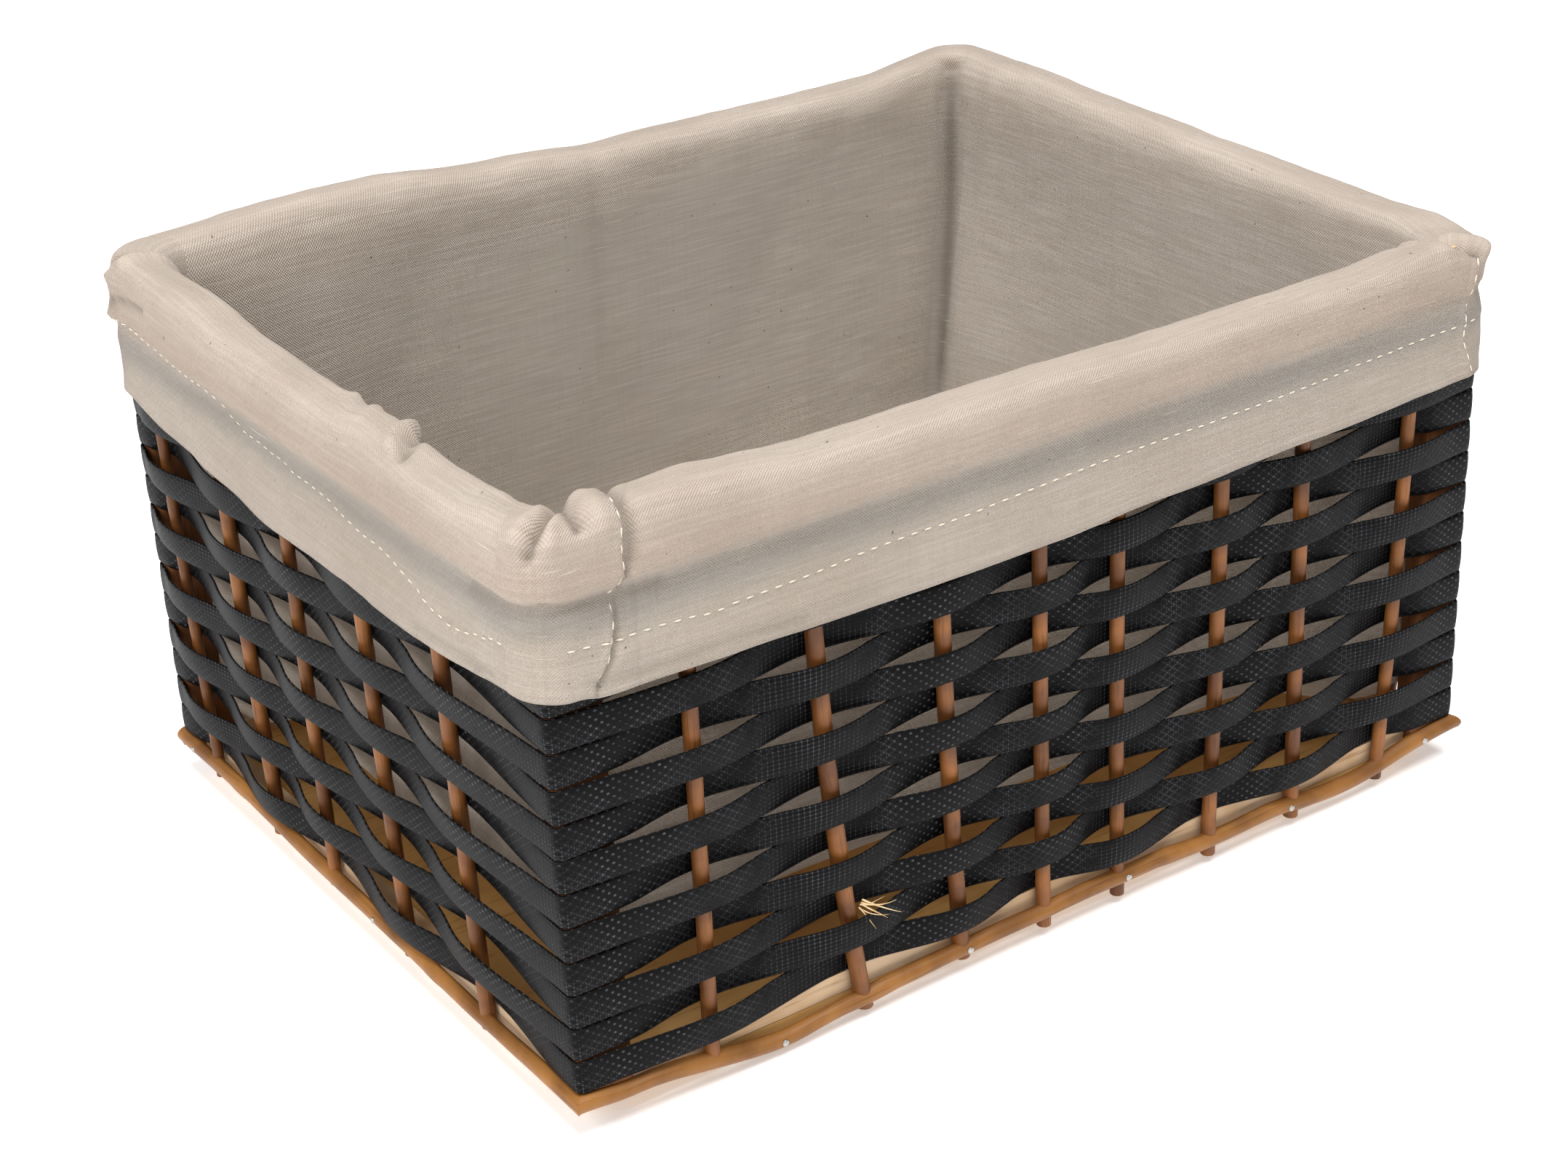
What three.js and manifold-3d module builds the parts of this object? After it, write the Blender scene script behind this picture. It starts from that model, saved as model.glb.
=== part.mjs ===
// Woven laundry basket with a lift-out cotton liner.
//
// A plywood base carries four corner posts. Willow stakes stand round it, held between an inner lath and an
// outer half-round moulding at the base and the same pair at the rim. Flat plastic band is woven round the
// stakes and posts, one closed ring a row. The liner hangs from the rim and folds over it as a skirt.
//
// Millimetres, +Z up. The origin is on the floor at the centre of the footprint, +X along the long side.
// An inset is measured inwards from the band's outer face at the corners.

import * as THREE from 'three';
import { mergeVertices } from 'three/addons/utils/BufferGeometryUtils.js';
import Module from 'manifold-3d';

const wasm = await Module();
wasm.setup();

// Overall size, over the woven band at the corners, and the number of woven rows.
const basketLength = 391;
const basketWidth = 304;
const rowCount = 14;

// Woven band, and the gap left between rows and wherever two pieces touch.
const bandWidth = 12;
const bandThickness = 1;
const touchGap = 0.3;

// Stakes: willow rods. The foot and the top of each are shares of the clear length between the corner posts,
// so a stake leans where they differ. The back and right sides repeat the front and left ones turned half round.
const stakeDiameter = 5.6;
const stakeInset = 1.5;
const stakeTopDrop = 2;
const stakeSides = 10;
const stakeSteps = 4;
const longStakes = [
  { foot: 0.057, top: 0.057 },
  { foot: 0.245, top: 0.196 },
  { foot: 0.372, top: 0.351 },
  { foot: 0.483, top: 0.477 },
  { foot: 0.586, top: 0.58 },
  { foot: 0.718, top: 0.724 },
  { foot: 0.845, top: 0.839 },
  { foot: 0.977, top: 1 },
];
const shortStakes = [
  { foot: 0.043, top: 0 },
  { foot: 0.247, top: 0.201 },
  { foot: 0.419, top: 0.4 },
  { foot: 0.641, top: 0.603 },
  { foot: 0.85, top: 0.816 },
];

// A band lies flat this far past a stake or post, and crosses the line of the stakes in at least this length.
const bandFlatMargin = 1.5;
const bandCrossing = 5;

// Base: plywood board, laths standing on it inside the stakes, and half-round moulding outside them.
const boardClearance = 5.5;
const boardThickness = 4;
const baseLathHeight = 7.9;
const lathThickness = 6;
const mouldingHeight = 6.3;
const mouldingDepth = 4;
const mouldingEndDrop = 0.5;
const mouldingSag = 4.6;
const mouldingSteps = 10;
const mouldingArcSteps = 8;

// Corner posts: flat battens, wide along the long side.
const postWidth = 20;
const postDepth = 9;

// Rim: a lath hoop inside the stakes and a flat moulding outside them.
const rimHeight = 18;
const rimMouldingDepth = 3;
const hoopCornerRadius = 3;

// Liner: cotton bag with a skirt over the rim. Its thickness stands for the folded cloth.
const linerThickness = 1.5;
const linerSideGap = 0.5;
const linerTopGap = 0.4;
const linerBagFloor = 55;
const linerHem = 157;
const bagCornerRadius = 4;

// Heights that follow from the sizes above.
const boardTop = boardClearance + boardThickness;
const baseLathBottom = boardTop + touchGap;
const weaveBottom = baseLathBottom + baseLathHeight + touchGap;
const rowPitch = bandWidth + touchGap;
const weaveTop = weaveBottom + rowCount * rowPitch - touchGap;
const rimBottom = weaveTop + touchGap;
const rimTop = rimBottom + rimHeight;
const stakeTop = rimTop - stakeTopDrop;

// Insets and lengths that follow from the sizes above.
const stakeRadius = stakeDiameter / 2;
const bandFlat = stakeRadius + bandFlatMargin;
const bandCornerInset = bandThickness / 2;
const bandWave = stakeRadius + touchGap + bandThickness / 2;
const lathInset = stakeInset + stakeRadius + touchGap;
const mouldingInset = stakeInset - stakeRadius - touchGap;
const postInset = bandThickness + touchGap;
const bagInset = lathInset + lathThickness + linerSideGap;
const skirtInset = mouldingInset - rimMouldingDepth - linerSideGap;
const skirtCornerRadius = linerSideGap + linerThickness;

// Sides of the basket, anticlockwise from the front. Each runs from its first corner along its direction.
const longPost = postInset + postWidth;
const shortPost = postInset + postDepth;
const sides = [
  { name: 'front', turn: 0, span: basketLength, depth: basketWidth, stakes: longStakes, post: longPost },
  { name: 'right', turn: 1, span: basketWidth, depth: basketLength, stakes: shortStakes, post: shortPost },
  { name: 'back', turn: 2, span: basketLength, depth: basketWidth, stakes: longStakes, post: longPost },
  { name: 'left', turn: 3, span: basketWidth, depth: basketLength, stakes: shortStakes, post: shortPost },
];

const finishes = {
  band: { color: 0x232325, roughness: 0.5 },
  willow: { color: 0xb57440, roughness: 0.6 },
  moulding: { color: 0xb87a3e, roughness: 0.55 },
  lath: { color: 0xc9a98a, roughness: 0.75 },
  plywood: { color: 0xb8935a, roughness: 0.7 },
  batten: { color: 0x7a4a24, roughness: 0.7 },
  cotton: { color: 0xd9cfc4, roughness: 0.95 },
};

const basket = new THREE.Group();

function addPart(parent, name, geometry, finish) {
  const mesh = new THREE.Mesh(geometry, new THREE.MeshStandardMaterial({ ...finishes[finish], metalness: 0 }));
  mesh.name = name;
  parent.add(mesh);
  return mesh;
}

// Booleans.

function toSolid(geometry) {
  const bare = geometry.clone();
  bare.deleteAttribute('normal');
  bare.deleteAttribute('uv');
  const merged = mergeVertices(bare, 1e-4);
  const vertProperties = new Float32Array(merged.attributes.position.array);
  const triVerts = new Uint32Array(merged.index.array);
  return new wasm.Manifold(new wasm.Mesh({ numProp: 3, vertProperties, triVerts }));
}

function toGeometry(solid) {
  const { vertProperties, triVerts } = solid.getMesh();
  const geometry = new THREE.BufferGeometry();
  geometry.setAttribute('position', new THREE.BufferAttribute(vertProperties, 3));
  geometry.setIndex(new THREE.BufferAttribute(triVerts, 1));
  return geometry;
}

// Plan shapes.

// A point on a side, from its distance along the side and its inset, in basket coordinates.
function sidePoint(side, along, inset) {
  const point = new THREE.Vector2(along - side.span / 2, inset - side.depth / 2);
  return point.rotateAround(new THREE.Vector2(), side.turn * Math.PI / 2);
}

// The rectangle at an inset, with rounded corners where a radius is given.
function insetOutline(inset, radius = 0) {
  const x = basketLength / 2 - inset;
  const y = basketWidth / 2 - inset;
  const shape = new THREE.Shape();
  shape.moveTo(radius - x, -y);
  shape.lineTo(x - radius, -y);
  if (radius) shape.absarc(x - radius, radius - y, radius, -Math.PI / 2, 0);
  shape.lineTo(x, y - radius);
  if (radius) shape.absarc(x - radius, y - radius, radius, 0, Math.PI / 2);
  shape.lineTo(radius - x, y);
  if (radius) shape.absarc(radius - x, y - radius, radius, Math.PI / 2, Math.PI);
  shape.lineTo(-x, radius - y);
  if (radius) shape.absarc(radius - x, radius - y, radius, Math.PI, Math.PI * 1.5);
  return shape;
}

// An outline raised from one height to another.
function raise(shape, bottom, top) {
  const geometry = new THREE.ExtrudeGeometry(shape, {
    depth: top - bottom,
    bevelEnabled: false,
    curveSegments: 4,
  });
  return geometry.translate(0, 0, bottom);
}

// A flat strip along one side with mitred ends, between two insets.
function mitredOutline(side, outerInset, innerInset) {
  const points = [
    sidePoint(side, outerInset + touchGap, outerInset),
    sidePoint(side, side.span - outerInset - touchGap, outerInset),
    sidePoint(side, side.span - innerInset - touchGap, innerInset),
    sidePoint(side, innerInset + touchGap, innerInset),
  ];
  return new THREE.Shape(points);
}

// Stakes.

// How far along its side a stake stands at a height: it bends most near its foot.
function stakeAlong(side, stake, height) {
  const rise = height / stakeTop;
  const share = stake.foot + (stake.top - stake.foot) * rise * (2 - rise);
  const start = side.post + bandFlatMargin + bandCrossing + bandFlat;
  return start + (side.span - 2 * start) * share;
}

function stakeGeometry(side, stake) {
  const rod = new THREE.CylinderGeometry(stakeRadius, stakeRadius, stakeTop, stakeSides, stakeSteps);
  rod.rotateX(Math.PI / 2);
  rod.translate(0, 0, stakeTop / 2);
  const position = rod.attributes.position;
  const centre = new THREE.Vector2();
  for (let i = 0; i < position.count; i += 1) {
    const height = Math.min(Math.max(position.getZ(i), 0), stakeTop);
    centre.copy(sidePoint(side, stakeAlong(side, stake, height), stakeInset));
    position.setXYZ(i, position.getX(i) + centre.x, position.getY(i) + centre.y, height);
  }
  return rod;
}

function addStakes() {
  for (const side of sides) {
    side.stakes.forEach((stake, i) => {
      addPart(basket, `stake_${side.name}_${i + 1}`, stakeGeometry(side, stake), 'willow');
    });
  }
}

// Woven band.

// The middle line of one row in plan: flat across each stake, in front of one and behind the next.
function rowLine(row) {
  const height = weaveBottom + row * rowPitch + bandWidth / 2;
  const points = [];
  let stakesPassed = 0;
  for (const side of sides) {
    const postEdge = side.post + bandFlatMargin;
    points.push(sidePoint(side, bandCornerInset, bandCornerInset));
    points.push(sidePoint(side, postEdge, bandCornerInset));
    for (const stake of side.stakes) {
      const inFront = (stakesPassed + row) % 2 === 0;
      const inset = stakeInset + (inFront ? -bandWave : bandWave);
      const along = stakeAlong(side, stake, height);
      points.push(sidePoint(side, along - bandFlat, inset));
      points.push(sidePoint(side, along + bandFlat, inset));
      stakesPassed += 1;
    }
    points.push(sidePoint(side, side.span - postEdge, bandCornerInset));
  }
  return points;
}

// A closed line moved sideways by an even distance, out of the basket where it is positive.
function offsetLine(points, distance) {
  return points.map((point, i) => {
    const before = points[(i + points.length - 1) % points.length];
    const after = points[(i + 1) % points.length];
    const into = point.clone().sub(before).normalize();
    const away = after.clone().sub(point).normalize();
    const normal = new THREE.Vector2(into.y + away.y, -into.x - away.x).normalize();
    const square = new THREE.Vector2(into.y, -into.x);
    return point.clone().addScaledVector(normal, distance / normal.dot(square));
  });
}

function addBandRows() {
  for (let row = 0; row < rowCount; row += 1) {
    const line = rowLine(row);
    const ring = new THREE.Shape(offsetLine(line, bandThickness / 2));
    ring.holes.push(new THREE.Path(offsetLine(line, -bandThickness / 2)));
    const bottom = weaveBottom + row * rowPitch;
    const number = String(row + 1).padStart(2, '0');
    addPart(basket, `band_row_${number}`, raise(ring, bottom, bottom + bandWidth), 'band');
  }
}

// Base.

// The board fills the space inside the stakes and is notched round the corner posts.
function addBaseBoard() {
  const notchX = longPost + touchGap;
  const notchY = shortPost + touchGap;
  const points = [];
  for (const side of sides) {
    const alongX = side.turn % 2 === 0;
    const along = alongX ? notchX : notchY;
    const across = alongX ? notchY : notchX;
    points.push(sidePoint(side, along, across));
    points.push(sidePoint(side, along, lathInset));
    points.push(sidePoint(side, side.span - along, lathInset));
  }
  addPart(basket, 'base_board', raise(new THREE.Shape(points), boardClearance, boardTop), 'plywood');
}

function addBaseLaths() {
  for (const side of sides) {
    const start = Math.max(side.post, lathInset) + touchGap;
    const clear = side.turn % 2 === 0 ? start : Math.max(start, lathInset + lathThickness + touchGap);
    const outline = new THREE.Shape([
      sidePoint(side, clear, lathInset),
      sidePoint(side, side.span - clear, lathInset),
      sidePoint(side, side.span - clear, lathInset + lathThickness),
      sidePoint(side, clear, lathInset + lathThickness),
    ]);
    const lath = raise(outline, baseLathBottom, baseLathBottom + baseLathHeight);
    addPart(basket, `base_lath_${side.name}`, lath, 'lath');
  }
}

// The half-round strip follows a shallow sag between the corners and is cut to a mitre at each end.
function mouldingGeometry(side) {
  const endHeight = weaveBottom - mouldingEndDrop - mouldingHeight / 2;
  const reach = side.span / 2 - mouldingInset + mouldingDepth * 2;
  const path = new THREE.QuadraticBezierCurve3(
    new THREE.Vector3(-reach, 0, endHeight),
    new THREE.Vector3(0, 0, endHeight - 2 * mouldingSag),
    new THREE.Vector3(reach, 0, endHeight),
  );
  const section = new THREE.Shape();
  section.moveTo(0, -mouldingHeight / 2);
  section.absellipse(0, 0, mouldingDepth, mouldingHeight / 2, -Math.PI / 2, Math.PI / 2);
  const strip = new THREE.ExtrudeGeometry(section, {
    extrudePath: path,
    steps: mouldingSteps,
    curveSegments: mouldingArcSteps,
  });
  strip.translate(0, mouldingInset - side.depth / 2, 0);
  strip.rotateZ(side.turn * Math.PI / 2);

  const outside = side.span + side.depth;
  const wedge = new THREE.Shape([
    sidePoint(side, mouldingInset - outside + touchGap, mouldingInset - outside),
    sidePoint(side, side.span - mouldingInset + outside - touchGap, mouldingInset - outside),
    sidePoint(side, side.span - mouldingInset - mouldingDepth - touchGap, mouldingInset + mouldingDepth),
    sidePoint(side, mouldingInset + mouldingDepth + touchGap, mouldingInset + mouldingDepth),
  ]);
  return toGeometry(toSolid(strip).intersect(toSolid(raise(wedge, 0, weaveBottom))));
}

function addBaseMouldings() {
  for (const side of sides) {
    addPart(basket, `base_moulding_${side.name}`, mouldingGeometry(side), 'moulding');
  }
}

// Corner posts, from the base board's underside to the hoop.
function addCornerPosts() {
  const height = weaveTop - boardClearance;
  const x = basketLength / 2 - postInset - postWidth / 2;
  const y = basketWidth / 2 - postInset - postDepth / 2;
  const corners = { front_left: [-x, -y], front_right: [x, -y], back_right: [x, y], back_left: [-x, y] };
  for (const [name, [centreX, centreY]] of Object.entries(corners)) {
    const box = new THREE.BoxGeometry(postWidth, postDepth, height);
    const post = addPart(basket, `corner_post_${name}`, box, 'batten');
    post.position.set(centreX, centreY, boardClearance + height / 2);
  }
}

// Rim.

function addRimHoop() {
  const hoop = insetOutline(lathInset, hoopCornerRadius);
  hoop.holes.push(insetOutline(lathInset + lathThickness));
  addPart(basket, 'rim_hoop', raise(hoop, rimBottom, rimTop), 'lath');
}

function addRimMouldings() {
  for (const side of sides) {
    const outline = mitredOutline(side, mouldingInset - rimMouldingDepth, mouldingInset);
    addPart(basket, `rim_moulding_${side.name}`, raise(outline, rimBottom, rimTop), 'moulding');
  }
}

// Liner: skirt and bag in one cloth, open at the top and slotted from below for the rim and the weave.
function addLiner() {
  const crest = rimTop + linerTopGap + linerThickness;
  const skirt = raise(insetOutline(skirtInset - linerThickness, skirtCornerRadius), linerHem, crest);
  const bag = raise(insetOutline(bagInset, bagCornerRadius), linerBagFloor, crest);
  const opening = insetOutline(bagInset + linerThickness, bagCornerRadius - linerThickness);
  const slot = insetOutline(skirtInset, linerSideGap);
  slot.holes.push(insetOutline(bagInset, bagCornerRadius));
  const cloth = toSolid(skirt)
    .subtract(toSolid(raise(slot, linerHem - linerThickness, rimTop + linerTopGap)))
    .add(toSolid(bag))
    .subtract(toSolid(raise(opening, linerBagFloor + linerThickness, crest + linerThickness)));
  const liner = new THREE.Group();
  addPart(liner, 'liner', toGeometry(cloth), 'cotton');
  return liner;
}

addBaseBoard();
addBaseLaths();
addBaseMouldings();
addCornerPosts();
addStakes();
addBandRows();
addRimHoop();
addRimMouldings();

const assembly = new THREE.Group();
assembly.add(basket, addLiner());

export default assembly;
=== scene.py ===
import math
import bmesh
import bpy
from mathutils import Matrix, Vector, noise
from mathutils.bvhtree import BVHTree


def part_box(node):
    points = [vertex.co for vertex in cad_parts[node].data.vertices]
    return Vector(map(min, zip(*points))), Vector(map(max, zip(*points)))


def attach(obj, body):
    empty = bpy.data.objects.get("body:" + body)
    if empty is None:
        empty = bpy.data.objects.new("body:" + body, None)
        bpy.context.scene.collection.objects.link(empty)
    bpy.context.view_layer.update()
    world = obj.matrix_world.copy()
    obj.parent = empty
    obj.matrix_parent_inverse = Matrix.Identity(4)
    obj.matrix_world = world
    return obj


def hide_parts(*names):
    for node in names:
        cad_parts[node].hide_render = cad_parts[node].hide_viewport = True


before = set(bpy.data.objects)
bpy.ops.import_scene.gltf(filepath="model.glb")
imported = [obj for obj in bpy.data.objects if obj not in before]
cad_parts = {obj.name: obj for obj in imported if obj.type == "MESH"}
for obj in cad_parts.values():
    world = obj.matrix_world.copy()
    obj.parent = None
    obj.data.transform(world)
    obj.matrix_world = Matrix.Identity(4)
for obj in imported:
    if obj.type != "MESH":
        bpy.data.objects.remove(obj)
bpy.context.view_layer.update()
MM = 0.001

# The camera stands off the near left corner of the basket, about a metre away, and looks a little
# down on it through a short telephoto lens, with a slight roll.
CAMERA_PLACE = Vector((-534.3, -792.3, 553.5)) * MM
CAMERA_TURN = math.radians(-33.58)
CAMERA_TILT = math.radians(90 - 26.53)
CAMERA_ROLL = math.radians(-2.7)
camera_lens = bpy.data.cameras.new("camera")
camera_lens.lens = 64.49
camera_lens.sensor_width = 36
camera = bpy.data.objects.new("camera", camera_lens)
bpy.context.scene.collection.objects.link(camera)
camera.matrix_world = (
    Matrix.Translation(CAMERA_PLACE)
    @ Matrix.Rotation(CAMERA_TURN, 4, "Z")
    @ Matrix.Rotation(CAMERA_TILT, 4, "X")
    @ Matrix.Rotation(CAMERA_ROLL, 4, "Z")
)
bpy.context.scene.camera = camera


# The studio: a plain pale floor that runs out of sight, a large soft box to the left that lights the
# short side and the roll of the cloth, a weaker one in front and above, and a white room.
def linear(code):
    """An sRGB hex colour as the linear colour the shader works in."""
    parts = [int(code[i : i + 2], 16) / 255 for i in (1, 3, 5)]
    return tuple(p / 12.92 if p <= 0.04045 else ((p + 0.055) / 1.055) ** 2.4 for p in parts) + (1.0,)


def add_node(material, kind, inputs=None, **settings):
    """Adds a node: settings are its own choices, inputs are numbers, colours or other nodes' sockets."""
    node = material.node_tree.nodes.new("ShaderNode" + kind)
    for name, value in settings.items():
        setattr(node, name, value)
    for key, value in (inputs or {}).items():
        if isinstance(value, bpy.types.NodeSocket):
            material.node_tree.links.new(value, node.inputs[key])
        else:
            node.inputs[key].default_value = value
    return node


def new_material(name):
    """A node material with its main shader, which is returned with it."""
    material = bpy.data.materials.new(name)
    material.use_nodes = True
    return material, material.node_tree.nodes["Principled BSDF"]


def link(material, socket, target):
    material.node_tree.links.new(socket, target)


def mixed(material, share, first, second):
    """The colour between two, by a share. Each is a hex colour or another node's socket."""
    ends = [linear(tone) if isinstance(tone, str) else tone for tone in (first, second)]
    return add_node(material, "Mix", {0: share, 6: ends[0], 7: ends[1]}, data_type="RGBA").outputs[2]


def new_object(name, mesh):
    """The finished mesh as an object of the scene."""
    data = bpy.data.meshes.new(name)
    mesh.to_mesh(data)
    mesh.free()
    piece = bpy.data.objects.new(name, data)
    bpy.context.scene.collection.objects.link(piece)
    return piece


def soft_box(name, place, target, size, power, colour="#ffffff"):
    lamp = bpy.data.lights.new(name, "AREA")
    lamp.shape = "RECTANGLE"
    lamp.size, lamp.size_y = size
    lamp.energy = power
    lamp.color = linear(colour)[:3]
    light = bpy.data.objects.new(name, lamp)
    bpy.context.scene.collection.objects.link(light)
    aim = (target - place).to_track_quat("-Z", "Y").to_matrix().to_4x4()
    light.matrix_world = Matrix.Translation(place) @ aim


MIDDLE = Vector((0, 0, 0.1))
soft_box("key_box", Vector((-1.9, -0.35, 1.35)), MIDDLE, (1.5, 1.3), 33)
soft_box("front_box", Vector((-0.3, -2.3, 0.6)), MIDDLE, (1.6, 1.0), 3.5)
soft_box("top_box", Vector((0, -0.45, 2.1)), MIDDLE, (1.6, 1.6), 63)
world = bpy.data.worlds.new("studio")
world.use_nodes = True
world.node_tree.nodes["Background"].inputs["Color"].default_value = (1, 1, 1, 1)
world.node_tree.nodes["Background"].inputs["Strength"].default_value = 0.38
bpy.context.scene.world = world
bpy.context.scene.view_settings.view_transform = "Standard"

floor_mesh = bmesh.new()
bmesh.ops.create_grid(floor_mesh, x_segments=1, y_segments=1, size=6)
floor = new_object("floor", floor_mesh)
paper, paper_shader = new_material("white_background_paper")
paper_shader.inputs["Roughness"].default_value = 0.9
paper_shader.inputs["Specular IOR Level"].default_value = 0.1
paper_grain = add_node(paper, "TexNoise", {"Scale": 3.0, "Detail": 2.0})
paper_tone = mixed(paper, paper_grain.outputs["Fac"], "#f6f6f7", "#fbfbfb")
link(paper, paper_tone, paper_shader.inputs["Base Color"])
paper_shader.inputs["Emission Color"].default_value = (1, 1, 1, 1)
paper_shader.inputs["Emission Strength"].default_value = 0.3
floor.data.materials.append(paper)

# Woven rows: fourteen closed rings of flat black plastic strap, 12 mm wide and under 1 mm thick, with
# a raised dot net rolled into the face. Each goes in front of one willow stake and behind the next,
# and the next row does the opposite. They hold by tension alone, flat against the corner posts.
LENGTH = 391 * MM
WIDTH = 304 * MM
SIDES = ("front", "right", "back", "left")
STAKE_COUNTS = (8, 5, 8, 5)
ROW_COUNT = 14
CORNER_STEPS = 6
POST_RUNS = (21.3 * MM, 10.3 * MM)
STRAP_HALF_WIDTH = 5.95 * MM
STRAP_HALF_THICKNESS = 0.45 * MM
STRAP_CROWN = 0.35 * MM
STRAP_STEP = 2.6 * MM
STRAP_WAVE = 3.6 * MM
CORNER_INSET = 0.5 * MM
CORNER_RADIUS = 2.6 * MM
CORNER_FLAT = 4 * MM
STRAP_FLAT = 4 * MM
STRAP_TIP_OUT = 1.3 * MM
STRAP_RISE = 0.35 * MM
STRAP_LEAN = 0.05
SKIRT_FOOT = 145 * MM
STRAP_BEND = [reach * MM for reach in (-6.5, -4, -2, 0, 2, 4, 6.5)]
DOT_PERIOD = 3.9 * MM
DOT_ROWS = 3.05 * MM


def side_span(turn):
    return (LENGTH, WIDTH)[turn % 2], (WIDTH, LENGTH)[turn % 2]


def on_side(turn, along, inset, height):
    """A place given as distance along a side, distance in from its outer face, and height."""
    span, depth = side_span(turn)
    spot = Vector((along - span / 2, inset - depth / 2, height))
    return Matrix.Rotation(turn * math.pi / 2, 3, "Z") @ spot


def stake_line(side, number):
    """The middle of a stake at a few heights, as (height, distance along its side)."""
    turn = SIDES.index(side)
    rings = {}
    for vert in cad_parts[f"stake_{side}_{number}"].data.vertices:
        spot = Matrix.Rotation(-turn * math.pi / 2, 3, "Z") @ vert.co
        rings.setdefault(round(spot.z, 4), set()).add(round(spot.x + side_span(turn)[0] / 2, 5))
    return [(height, sum(places) / len(places)) for height, places in sorted(rings.items())]


def along_at(line, height):
    """Where a stake's middle is along its side at one height."""
    for (low, first), (high, second) in zip(line, line[1:]):
        if height <= high:
            return first + (second - first) * (height - low) / (high - low)
    return line[-1][1]


def ease(share):
    return (1 - math.cos(math.pi * min(max(share, 0), 1))) / 2


def straight_at(points, place):
    """The height of a straight-sided line given as (place, height) pairs."""
    if place <= points[0][0]:
        return points[0][1]
    for (first, low), (second, high) in zip(points, points[1:]):
        if place <= second:
            return low + (high - low) * (place - first) / (second - first)
    return points[-1][1]


def bent_at(points, place):
    """The same line with its corners rounded, as stiff strap rounds them."""
    rounded = sum(straight_at(points, place + reach) for reach in STRAP_BEND) / len(STRAP_BEND)
    return 0.6 * rounded + 0.4 * at_place(points, place)


def at_place(points, place):
    """The eased height of a line given as (place, height) pairs."""
    if place <= points[0][0]:
        return points[0][1]
    for (first, low), (second, high) in zip(points, points[1:]):
        if place <= second:
            return low + (high - low) * ease((place - first) / (second - first))
    return points[-1][1]


def drawn_out(name, rings, around, across, ends):
    """A circle of points drawn out ring by ring, with a UV map in metres. Ends are joined or capped."""
    mesh = bmesh.new()
    bmesh.ops.create_circle(mesh, segments=len(rings[0]), radius=1)
    column = mesh.verts.layers.int.new("column")
    level = mesh.verts.layers.int.new("level")
    for index, vert in enumerate(mesh.verts):
        vert[column] = index
        vert.co = rings[0][index]
    first_edges = mesh.edges[:]
    edges = first_edges
    for step in range(1, len(rings)):
        drawn = bmesh.ops.extrude_edge_only(mesh, edges=edges)["geom"]
        for vert in [part for part in drawn if isinstance(part, bmesh.types.BMVert)]:
            vert[level] = step
            vert.co = rings[step][vert[column]]
        edges = [
            part
            for part in drawn
            if isinstance(part, bmesh.types.BMEdge) and all(v[level] == step for v in part.verts)
        ]
    if ends == "joined":
        bmesh.ops.bridge_loops(mesh, edges=first_edges + edges)
    caps = []
    for rim in {"both": (first_edges, edges), "last": (edges,)}.get(ends, ()):
        caps += bmesh.ops.holes_fill(mesh, edges=rim, sides=0)["faces"]
    surface = mesh.loops.layers.uv.new("surface")
    last = len(rings[0]) - 1
    for face in mesh.faces:
        wraps = any(v[column] == last for v in face.verts) and any(v[column] == 0 for v in face.verts)
        for loop in face.loops:
            place = loop.vert[column]
            if wraps and place == 0:
                place = last + 1
            loop[surface].uv = (around[place], across[loop.vert[level]])
        face.smooth = True
    if ends == "both":
        for cap in caps:
            cap.smooth = False
            for edge in cap.edges:
                edge.smooth = False
    bmesh.ops.recalc_face_normals(mesh, faces=mesh.faces)
    return new_object(name, mesh)


def strap_plan(row, height, stakes):
    """The strap's middle line round the basket, as (place, outward direction, how far it is in front)."""
    plan = []
    passed = 0
    for turn, side in enumerate(SIDES):
        span = side_span(turn)[0]
        post = POST_RUNS[turn % 2]
        first_in_front = (passed + row) % 2 == 0
        last_in_front = (passed + len(stakes[side]) - 1 + row) % 2 == 0
        flat_start = CORNER_FLAT if first_in_front else post
        flat_end = CORNER_FLAT if last_in_front else post
        bends = [(0, CORNER_INSET), (flat_start, CORNER_INSET)]
        for line in stakes[side]:
            in_front = (passed + row) % 2 == 0
            reach = STAKE_INSET - STRAP_WAVE if in_front else STAKE_INSET + STRAP_WAVE
            middle = along_at(line, height)
            bends += [(middle - STRAP_FLAT, reach), (middle + STRAP_FLAT, reach)]
            passed += 1
        bends += [(span - flat_end, CORNER_INSET), (span, CORNER_INSET)]
        turn_in = CORNER_INSET + CORNER_RADIUS
        for step in range(CORNER_STEPS):
            angle = math.pi / 2 * step / CORNER_STEPS
            out = Vector((-math.cos(angle), -math.sin(angle), 0))
            spot = on_side(turn, turn_in + out.x * CORNER_RADIUS, turn_in + out.y * CORNER_RADIUS, 0)
            plan.append((spot, Matrix.Rotation(turn * math.pi / 2, 3, "Z") @ out, 0))
        steps = round((span - 2 * turn_in) / STRAP_STEP)
        for step in range(steps):
            along = turn_in + (span - 2 * turn_in) * step / steps
            slope = bent_at(bends, along + 0.5 * MM) - bent_at(bends, along - 0.5 * MM)
            out = Matrix.Rotation(turn * math.pi / 2, 3, "Z") @ Vector((slope / MM, -1, 0)).normalized()
            inset = bent_at(bends, along)
            ahead = min(max((CORNER_INSET - inset) / (CORNER_INSET - STAKE_INSET + STRAP_WAVE), 0), 1)
            plan.append((on_side(turn, along, inset, 0), out, ahead))
    return plan


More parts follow.
